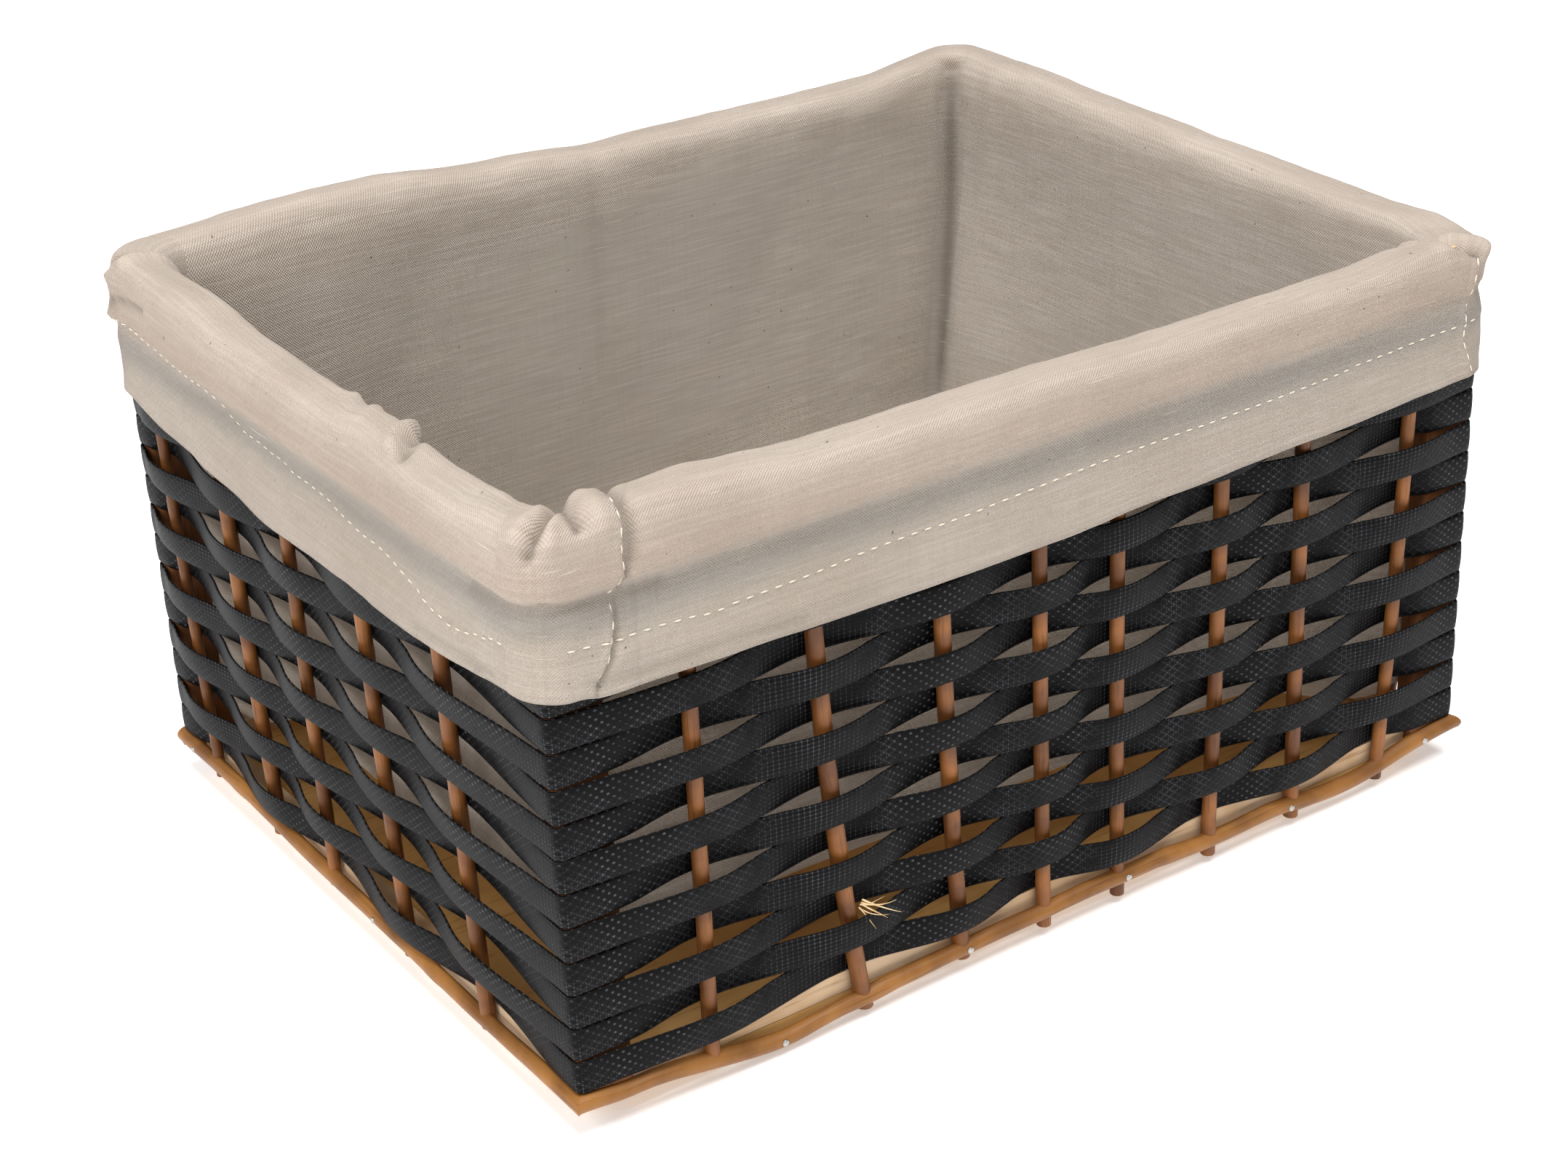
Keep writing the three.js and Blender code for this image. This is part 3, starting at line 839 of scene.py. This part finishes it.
# Folds, seams and puckers, each a line of places, how far the cloth stands out of its surface there
# (inwards if less than nothing) and how wide the fold is, all in millimetres.
NEAR_SEAM = [front(27, 12, 211), front(28, 5, 215), front(27.5, -1, 215), front(25.5, -6, 206),
             front(25.5, -8, 198), front(22.5, -4, 190), front(21.5, -5, 178), front(19, -5, 170),
             front(13, -5, 160)]
RIGHT_SEAM = [front(380, -5.5, 205), front(377, -5.3, 192), front(376, -5, 176), front(381, -5, 163)]
FOLDS = [
    # near corner: seam over the roll, its shadow valley, the pleat beside it and the gathered pinch
    (NEAR_SEAM, 0.7, 1.2),
    ([front(29.5, 5, 215), front(29.5, 0, 214), front(27.8, -6, 206), front(27.6, -6, 198),
      front(24.6, -4, 190), front(23.6, -5, 178), front(21.2, -5, 170), front(15.5, -5, 161)], -1.3, 1.1),
    ([front(31, 11, 212), front(31, 4, 215.5), front(30, -3, 211), front(28.5, -5.5, 200)], -1.5, 2.6),
    ([front(23.5, 14, 208), front(23, 9, 214), front(22.5, 2, 216), front(21, -3.5, 211)], 2.0, 4.2),
    ([front(18, 13, 209), front(15.5, 9, 214), front(14.5, 3, 215), front(14, -4, 213)], -2.0, 1.9),
    ([front(15.5, 9, 214), front(9, 3.5, 216), front(2, -1, 214), front(-4, -4.5, 209)], -2.6, 1.9),
    ([front(12.5, 4, 216), front(7, 0, 214), front(4, -4, 210)], 1.3, 2.2),
    ([front(9, 9, 215), front(3, 6, 216), front(-4, 2, 213)], 1.3, 2.6),
    # the cloth tucks in under the rim at the near corner
    ([left_side(30, -5, 187.5), left_side(8, -5, 189), front(0, -4.5, 190), front(21, -5, 188.8),
      front(40, -5, 188)], -1.3, 2.4),
    ([left_side(40, -5, 183), left_side(5, -5, 185), front(0, -4.5, 186), front(18, -5, 184)], 0.9, 2.6),
    # soft pull lines on the skirt, off the near corner
    ([front(24, -5, 170), front(60, -5, 167), front(120, -5, 166)], 0.7, 3.2),
    ([front(22, -5, 182), front(64, -5, 184), front(110, -5, 183)], 0.6, 3.0),
    ([front(14, -5, 163), front(40, -5, 162), front(90, -5, 160)], -0.5, 2.2),
    ([left_side(10, -5, 170), left_side(60, -5, 166), left_side(120, -5, 163)], 0.7, 3.0),
    ([left_side(28, -5, 178), left_side(6, -5, 176), front(6, -5, 175)], 0.8, 2.4),
    ([left_side(60, -5, 172), left_side(20, -5, 165), left_side(4, -5, 161), front(6, -5, 160.5)], 0.7, 1.6),
    ([left_side(30, -5, 160), left_side(8, -5, 157.5), front(8, -5, 157.5), front(14, -5, 159)], -0.8, 1.0),
    ([left_side(20, -5, 163), left_side(70, -5, 159)], -0.5, 2.4),
    # the fold that laps over the left side's roll, and the two small ones beyond it
    ([left_side(97, 15, 206), left_side(93, 11, 212), left_side(88, 5, 216.5),
      left_side(82, -1, 214)], 2.6, 2.0),
    ([left_side(89, 15, 205), left_side(85, 10, 211), left_side(79, 4, 215),
      left_side(74, -2, 212)], -2.2, 1.5),
    ([left_side(136, 14, 208), left_side(126, 9, 213), left_side(120, 2, 215)], 1.2, 2.4),
    ([left_side(120, 14.5, 206), left_side(112, 9, 212), left_side(104, 2, 214)], 1.0, 2.2),
    # far left corner: puckers where the seam goes under, and the pinch inside
    ([left_side(296, -5.5, 202), left_side(280, -5.5, 206), left_side(262, -5.5, 207)], -1.2, 1.8),
    ([left_side(299, -5.5, 196), left_side(282, -5.5, 199)], 1.1, 1.8),
    ([left_side(300, -5.5, 210), left_side(286, -4, 212)], 1.2, 2.0),
    ([left_side(283, 14, 208), left_side(287, 8, 217), left_side(293, 1, 219),
      left_side(299, -4, 213)], -2.4, 2.6),
    ([left_side(276, 13, 212), left_side(280, 6, 218.5), left_side(284, -2, 217)], 1.6, 3.4),
    # right corner: the deep groove beside the seam
    ([front(372, 14, 206), front(374, 8, 212), front(378, 2, 214.5), front(384, -4, 210)], -3.0, 2.8),
    ([front(364, 13, 209), front(366, 6, 213.5), front(368, -1, 213)], 1.7, 4.0),
    ([front(383, 10, 213), front(388, 3, 216), front(393, -3, 212)], 1.8, 3.6),
    (RIGHT_SEAM, 0.8, 1.4),
    ([front(384, -5.4, 200), front(388, -5.2, 190)], -1.0, 2.2),
    # back corner and walls of the bag
    ([back_wall(376, 15, 215), back_wall(374, 16, 150), back_wall(364, 18, 75)], -2.5, 4.0),
    ([back_wall(205, 15, 212), back_wall(205, 16, 150), back_wall(204, 17, 80)], 0.6, 1.8),
    ([back_wall(197, 15, 212), back_wall(196, 16, 120)], -0.4, 4.0),
    ([right_wall(182, 15, 212), right_wall(181, 16, 150), right_wall(180, 17, 90)], 0.5, 1.8),
    ([right_wall(262, 15, 210), right_wall(270, 16, 150), right_wall(282, 18, 90)], 0.8, 6.0),
    ([back_wall(330, 15, 200), back_wall(300, 16, 140), back_wall(290, 17, 90)], 0.3, 8.0),
    ([back_wall(120, 15, 190), back_wall(90, 16, 130)], -0.25, 9.0),
]


FOLD_STRENGTH = 1.4


def fold_height(spot):
    """How far the folds lift the cloth at a place, and how deep in a crease it is."""
    total = 0
    crease = 0
    for line, lift, width, centre, reach in laid_folds:
        if (spot - centre).length > reach:
            continue
        nearest = 3 * width
        for first, second in zip(line, line[1:]):
            step = second - first
            share = min(max((spot - first).dot(step) / step.length_squared, 0), 1)
            nearest = min(nearest, (spot - first - step * share).length)
        if nearest < 3 * width:
            total += FOLD_STRENGTH * lift * math.exp(-((nearest / width) ** 2))
            # The crease value sets the painted shade in the hollow of an inward fold.
            crease = max(crease, -lift / 4 * math.exp(-((1.3 * nearest / width) ** 2)))
    return total, crease


liner_columns = []
for turn in range(4):
    for step in range(CORNER_POINTS):
        liner_columns.append((turn, True, step / CORNER_POINTS))
    points = (LONG_POINTS, SHORT_POINTS)[turn % 2]
    for step in range(points):
        share = step / points
        share -= END_CROWDING * math.sin(2 * math.pi * share) / (2 * math.pi)
        liner_columns.append((turn, False, share))


def plan_place(column, inset, radius):
    """Distance along the side and inset of a column, for a rounded rectangle in millimetres."""
    turn, corner, share = column
    if corner:
        angle = math.pi / 2 * share
        return inset + radius * (1 - math.cos(angle)), inset + radius * (1 - math.sin(angle))
    span = side_span(turn)[0] / MM
    return inset + radius + (span - 2 * (inset + radius)) * share, inset


def outward(column):
    turn, corner, share = column
    angle = math.pi / 2 * share if corner else math.pi / 2
    return Matrix.Rotation(turn * math.pi / 2, 3, "Z") @ Vector((-math.cos(angle), -math.sin(angle), 0))


# The stations of the cloth from hem to the middle of the bag's floor: part, share of that part.
stations = [("skirt", step / 20) for step in range(20)]
stations += [("roll", step / 32) for step in range(32)]
stations += [("wall", step / 13) for step in range(13)]
stations += [("bend", step / 5) for step in range(5)]
stations += [("floor", step / 4) for step in range(5)]


def cloth_place(column, part, share):
    """A point of the flat-lying cloth, and the direction that its seen face looks in."""
    turn = column[0]
    side = SIDES[turn]
    out = outward(column)
    rough_along = plan_place(column, 0, 8)[0]
    hem = at_place(HEM_HEIGHTS[side], rough_along)
    crest = at_place(CREST_HEIGHTS[side], rough_along)
    left_to_go = side_span(turn)[0] / MM - rough_along
    # how near the place is to the front right or back left corner, where the cloth is fuller
    corner_share = math.exp(-(((left_to_go if turn in (0, 2) else rough_along) / CORNER_SPREAD) ** 2))
    roll_outer = ROLL_OUTER + CORNER_SLACK * corner_share
    drop = CORNER_DROP * corner_share
    if turn < 2:
        from_corner = left_to_go if turn == 0 else rough_along
        crest -= RIGHT_CORNER_FALL * math.exp(-((from_corner / RIGHT_CORNER_SPREAD) ** 2))
    if part == "skirt":
        height = hem + (ROLL_FOOT - hem) * share
        inset = SKIRT_INSET + (VALLEY_INSET - SKIRT_INSET) * ease((height - 176) / 10)
        inset += (roll_outer - VALLEY_INSET) * ease((height - 188.5) / 8)
        inset -= 0.9 * math.exp(-(((height - hem - 9) / 8) ** 2))
        inset += (CLOSE_SKIRT - inset) * corner_share * ease((ROLL_FOOT - height) / 8)
        radius = 15 + 7 * corner_share * ease((height - 184) / 14)
        facing = out
    elif part == "roll":
        angle = math.pi * share
        power = 2 / (3.0 + 1.6 * min(max((214 - crest) / 3.5, 0), 1))
        middle = (roll_outer + ROLL_INNER) / 2
        half = (ROLL_INNER - roll_outer) / 2
        wide = math.copysign(abs(math.cos(angle)) ** power, math.cos(angle))
        inset = middle - half * wide
        height = ROLL_FOOT + (crest - ROLL_FOOT) * abs(math.sin(angle)) ** power
        radius = 15 - 7 * share + 7 * corner_share * (1 - share)
        facing = (out * math.cos(angle) + Vector((0, 0, math.sin(angle)))).normalized()
    elif part == "wall":
        height = ROLL_FOOT - (ROLL_FOOT - BAG_FLOOR - BAG_BEND + drop) * share
        inset = ROLL_INNER + BAG_LEAN * share
        radius = 8 - 4 * share
        facing = -out
    elif part == "bend":
        angle = math.pi / 2 * share
        inset = ROLL_INNER + BAG_LEAN + BAG_BEND * (1 - math.cos(angle))
        height = BAG_FLOOR - drop + BAG_BEND * (1 - math.sin(angle))
        radius = 4 + 6 * share
        facing = (-out * math.cos(angle) + Vector((0, 0, math.sin(angle)))).normalized()
    else:
        inset = ROLL_INNER + BAG_LEAN + BAG_BEND + FLOOR_REACH * share
        height = BAG_FLOOR - drop * (1 - share) - FLOOR_SAG * ease(share)
        radius = 10
        facing = Vector((0, 0, 1))
    along, deep = plan_place(column, inset, radius)
    spot = on_side(turn, along * MM, deep * MM, 0) / MM + Vector((0, 0, height))
    if part in ("wall", "bend", "floor"):
        if spot.x > 100:
            near = min(max((spot.y - 30) / 105, 0), 1)
            pull = 13 * near * near * min(max((170 - height) / 95, 0), 1)
            spot.x -= pull * min((spot.x - 100) / 60, 1)
    return spot, facing, inset


plain_cloth = [[cloth_place(column, part, share) for column in liner_columns] for part, share in stations]
plain_points = [spot for ring in plain_cloth for spot, _, _ in ring]
column_count = len(liner_columns)
plain_faces = []
for row in range(len(stations) - 1):
    for column in range(column_count):
        after = (column + 1) % column_count
        low, high = row * column_count, (row + 1) * column_count
        plain_faces.append((low + column, low + after, high + after, high + column))
plain_tree = BVHTree.FromPolygons(plain_points, plain_faces)
LINE_PARTS = 4


def laid_on_cloth(line):
    """The line in shorter steps, every place of it moved to the nearest place on the cloth."""
    laid = []
    for first, second in zip(line, line[1:]):
        for step in range(LINE_PARTS):
            laid.append(plain_tree.find_nearest(first.lerp(second, step / LINE_PARTS))[0])
    laid.append(plain_tree.find_nearest(line[-1])[0])
    return laid


laid_folds = []
for line, lift, width in FOLDS:
    laid = laid_on_cloth(line)
    centre = sum(laid, Vector()) / len(laid)
    reach = max((place - centre).length for place in laid) + 3 * width
    laid_folds.append((laid, lift, width, centre, reach))

rings = []
shows = {"painted_roll_shade": [], "painted_rim_show_through": [], "inside": [], "crease": []}
for (part, share), plain_ring in zip(stations, plain_cloth):
    ring = []
    for column, (spot, facing, inset) in zip(liner_columns, plain_ring):
        flow = Vector((spot.x, spot.y, spot.z))
        if part in ("skirt", "roll"):
            soft = 0.55 * noise.noise(flow / 26) + 0.3 * noise.noise(flow / 10 + Vector((9, 4, 2)))
        else:
            soft = 2.0 * noise.noise(Vector((spot.x, spot.y, spot.z * 0.55)) / 62 + Vector((3, 0, 0)))
            soft += 0.5 * noise.noise(flow / 22 + Vector((0, 7, 0)))
            soft *= min(1, 0.25 + (ROLL_FOOT + 4 - spot.z) / 30) if spot.z < ROLL_FOOT + 4 else 0.25
        folds, crease = fold_height(spot)
        lift = soft + folds
        if part == "skirt":
            hem = at_place(HEM_HEIGHTS[SIDES[column[0]]], plan_place(column, 0, 8)[0])
            seam = at_place(SEAM_HEIGHTS[SIDES[column[0]]], plan_place(column, 0, 8)[0])
            lift += 0.35 * math.exp(-(((spot.z - seam) / 1.1) ** 2))
            lift += 0.5 * (1 - ease((spot.z - hem) / HEM_BAND))
            lift = max(lift, inset - CLOSEST_INSET)
        if part == "roll":
            lift = max(lift, -3.2 if 0.25 < share < 0.8 else -2.2)
        if part in ("wall", "bend"):
            lift = max(lift, -0.7)
        moved = spot + facing * lift
        ring.append(moved * MM)
        outside = 1.0 if part == "skirt" or (part == "roll" and share < 0.42) else 0.0
        # Painted shade: a bluish grey band below the roll, where the roll overhangs and the dark strap shows
        # through.
        painted_roll_shade = outside * math.exp(-(((moved.z - 184.5 - 1.5 * noise.noise(flow / 30)) / 5.5) ** 2))
        # Painted light: a pinkish band where the wooden rim behind the cloth shows through it.
        painted_rim_show_through = outside * math.exp(-(((moved.z - 199 - 2 * noise.noise(flow / 40)) / 6.0) ** 2))
        # Painted light: how far the inside of the bag is painted lighter.
        deep = 0.0 if part == "skirt" else ease((share - 0.5) / 0.45) if part == "roll" else 1.0
        shows["painted_roll_shade"].append(painted_roll_shade)
        shows["painted_rim_show_through"].append(painted_rim_show_through)
        shows["inside"].append(deep)
        shows["crease"].append(crease)
    rings.append(ring)

around = [0.0]
for first, second in zip(rings[24], rings[24][1:] + rings[24][:1]):
    around.append(around[-1] + (second - first).length)
across = [0.0]
middle_column = CORNER_POINTS + LONG_POINTS // 2
for first, second in zip(rings, rings[1:]):
    across.append(across[-1] + (second[middle_column] - first[middle_column]).length)
liner = drawn_out("calico_liner", rings, around, across, ends="last")
for name, values in shows.items():
    layer = liner.data.attributes.new(name, "FLOAT", "POINT")
    layer.data.foreach_set("value", values)
skirt_face = min(liner.data.polygons, key=lambda face: face.center.y)
if skirt_face.normal.y > 0:
    liner.data.flip_normals()
wall = liner.modifiers.new("cloth_thickness", "SOLIDIFY")
wall.thickness = CLOTH_THICKNESS * MM
wall.offset = -1

# Unbleached calico: a thin plain weave with slubs and flecks of seed husk. Threads are 0.45 mm apart and
# are drawn 1.1 mm apart, to show. A bluish grey band on the skirt is painted shade under the roll, where the
# dark strap behind it also shows through, and a pinkish band above it is painted light where the wooden rim
# behind it shows through the cloth. The inside of the bag is painted lighter, as painted light, and the
# creases darker, as painted shade.
THREAD = 1.1 * MM
calico, calico_shader = new_material("unbleached_calico")
cloth_uv = add_node(calico, "UVMap", uv_map="surface")
cloth_axes = add_node(calico, "SeparateXYZ", {0: cloth_uv.outputs["UV"]})
threads = []
for axis in ("X", "Y"):
    scaled = add_node(
        calico, "Math", {0: cloth_axes.outputs[axis], 1: 2 * math.pi / THREAD}, operation="MULTIPLY"
    )
    threads.append(add_node(calico, "Math", {0: scaled.outputs[0]}, operation="SINE"))
weave = add_node(
    calico, "Math", {0: threads[0].outputs[0], 1: threads[1].outputs[0]}, operation="MULTIPLY"
)
weft = add_node(calico, "Mapping", {"Vector": cloth_uv.outputs["UV"], "Scale": (30, 900, 1)})
weft_noise = add_node(
    calico, "TexNoise", {"Vector": weft.outputs[0], "Scale": 1.0, "Detail": 3.0, "Roughness": 0.6}
)
warp = add_node(calico, "Mapping", {"Vector": cloth_uv.outputs["UV"], "Scale": (900, 40, 1)})
warp_noise = add_node(
    calico, "TexNoise", {"Vector": warp.outputs[0], "Scale": 1.0, "Detail": 2.0, "Roughness": 0.6}
)
weft_share = add_node(
    calico,
    "MapRange",
    {"Value": weft_noise.outputs["Fac"], "From Min": 0.3, "From Max": 0.7, "To Max": 0.6},
)
slub = add_node(
    calico,
    "MapRange",
    {"Value": weft_noise.outputs["Fac"], "From Min": 0.63, "From Max": 0.72},
)
fleck_noise = add_node(calico, "TexNoise", {"Vector": cloth_uv.outputs["UV"], "Scale": 420.0, "Detail": 1.0})
fleck = add_node(
    calico,
    "MapRange",
    {"Value": fleck_noise.outputs["Fac"], "From Min": 0.765, "From Max": 0.8},
)
cloud_noise = add_node(
    calico, "TexNoise", {"Vector": cloth_uv.outputs["UV"], "Scale": 14.0, "Detail": 3.0}
)
cloud_share = add_node(
    calico, "MapRange", {"Value": cloud_noise.outputs["Fac"], "From Min": 0.35, "From Max": 0.65}
)
cloth_tone = mixed(calico, cloud_share.outputs["Result"], "#ece1d6", "#dfd2c5")
# Painted light: the inside of the bag is lightened towards pale cream, brighter than its lighting makes it.
inside_amount = add_node(calico, "Attribute", attribute_name="inside")
inside_share = add_node(calico, "Math", {0: inside_amount.outputs["Fac"], 1: 0.55}, operation="MULTIPLY")
inside_tone = mixed(calico, inside_share.outputs[0], cloth_tone, "#f8f2ea")
thread_share = add_node(
    calico,
    "MapRange",
    {"Value": warp_noise.outputs["Fac"], "From Min": 0.3, "From Max": 0.7, "To Max": 0.18},
)
cloth_threads = mixed(calico, thread_share.outputs["Result"], inside_tone, "#c8bbac")
weft_lines = mixed(calico, weft_share.outputs["Result"], cloth_threads, "#c4b5a4")
shade = weft_lines
# Painted shade and light on the cloth: a bluish shade band under the roll, a pinkish rim show-through band,
# and dark painted shade in the creases.
for name, tint, strength in (
    ("painted_roll_shade", "#a3a19d", 0.42),
    ("painted_rim_show_through", "#dbbda6", 0.2),
    ("crease", "#7d6c5a", 0.9),
):
    amount = add_node(calico, "Attribute", attribute_name=name)
    share = add_node(calico, "Math", {0: amount.outputs["Fac"], 1: strength}, operation="MULTIPLY")
    shade = mixed(calico, share.outputs[0], shade, tint)
slub_share = add_node(calico, "Math", {0: slub.outputs["Result"], 1: 0.8}, operation="MULTIPLY")
slubbed = mixed(calico, slub_share.outputs[0], shade, "#f6f0e6")
fleck_share = add_node(calico, "Math", {0: fleck.outputs["Result"], 1: 0.7}, operation="MULTIPLY")
flecked = mixed(calico, fleck_share.outputs[0], slubbed, "#5d4a38")
link(calico, flecked, calico_shader.inputs["Base Color"])
relief_sum = add_node(
    calico, "Math", {0: weave.outputs[0], 1: weft_noise.outputs["Fac"]}, operation="ADD"
)
calico_bump = add_node(
    calico, "Bump", {"Height": relief_sum.outputs[0], "Strength": 0.8, "Distance": 0.25 * MM}
)
link(calico, calico_bump.outputs["Normal"], calico_shader.inputs["Normal"])
calico_shader.inputs["Roughness"].default_value = 0.92
calico_shader.inputs["Specular IOR Level"].default_value = 0.25
calico_shader.inputs["Sheen Weight"].default_value = 0.15
calico_shader.inputs["Sheen Roughness"].default_value = 0.5
calico_back = add_node(
    calico,
    "BsdfTranslucent",
    {"Color": flecked, "Normal": calico_bump.outputs["Normal"]},
)
calico_mix = add_node(
    calico,
    "MixShader",
    {0: 0.5, 1: calico_shader.outputs["BSDF"], 2: calico_back.outputs["BSDF"]},
)
link(calico, calico_mix.outputs["Shader"], calico.node_tree.nodes["Material Output"].inputs["Surface"])
liner.data.materials.append(calico)
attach(liner, "liner")
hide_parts("liner")

# Stitches: a lockstitch of cream cotton thread all round the skirt, and up the seams of the two front
# corners over the roll. Each stitch is a short rounded dash, half sunk in the cloth.
thread_cotton, thread_shader = new_material("cream_sewing_cotton")
thread_place = add_node(thread_cotton, "TexCoord")
thread_noise = add_node(
    thread_cotton, "TexNoise", {"Vector": thread_place.outputs["Object"], "Scale": 2500.0}
)
thread_tone = mixed(thread_cotton, thread_noise.outputs["Fac"], "#ece3d5", "#d2c3ac")
link(thread_cotton, thread_tone, thread_shader.inputs["Base Color"])
thread_shader.inputs["Roughness"].default_value = 0.8
STITCH_PITCH = 5.2
STITCH_LENGTH = 3.3
STITCH_WIDTH = 0.6
STITCH_PROUD = 0.08 * MM
STITCH_REACH = 9 * MM
liner_tree = BVHTree.FromPolygons(
    [vert.co for vert in liner.data.vertices], [face.vertices for face in liner.data.polygons]
)
stitch_lines = []
for turn, side in enumerate(SIDES):
    span = side_span(turn)[0] / MM
    line = []
    for step in range(81):
        along = 8 + (span - 16) * step / 80
        line.append(spot_of(turn, along, -8, at_place(SEAM_HEIGHTS[side], along) - 1.6))
    stitch_lines.append(line)
for seam in (NEAR_SEAM, RIGHT_SEAM):
    stitch_lines.append(laid_on_cloth(seam))
stitch_mesh = bmesh.new()
for line in stitch_lines:
    reach = 0.0
    for first, second in zip(line, line[1:]):
        step = second - first
        while reach < step.length:
            place = first + step * (reach / step.length)
            reach += STITCH_PITCH
            spot, normal, _, gap = liner_tree.find_nearest(place * MM)
            if gap > STITCH_REACH:
                continue
            run = (step - normal * step.dot(normal)).normalized()
            stitch_axes = Matrix((run, normal.cross(run), normal)).transposed().to_4x4()
            half_wide = STITCH_WIDTH / 2 * MM
            stitch_size = Matrix.Diagonal((STITCH_LENGTH / 2 * MM, half_wide, half_wide, 1))
            bmesh.ops.create_icosphere(
                stitch_mesh,
                subdivisions=1,
                radius=1,
                matrix=Matrix.Translation(spot + normal * STITCH_PROUD) @ stitch_axes @ stitch_size,
            )
        reach -= step.length
for face in stitch_mesh.faces:
    face.smooth = True
stitches = new_object("liner_stitches", stitch_mesh)
stitches.data.materials.append(thread_cotton)
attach(stitches, "liner")
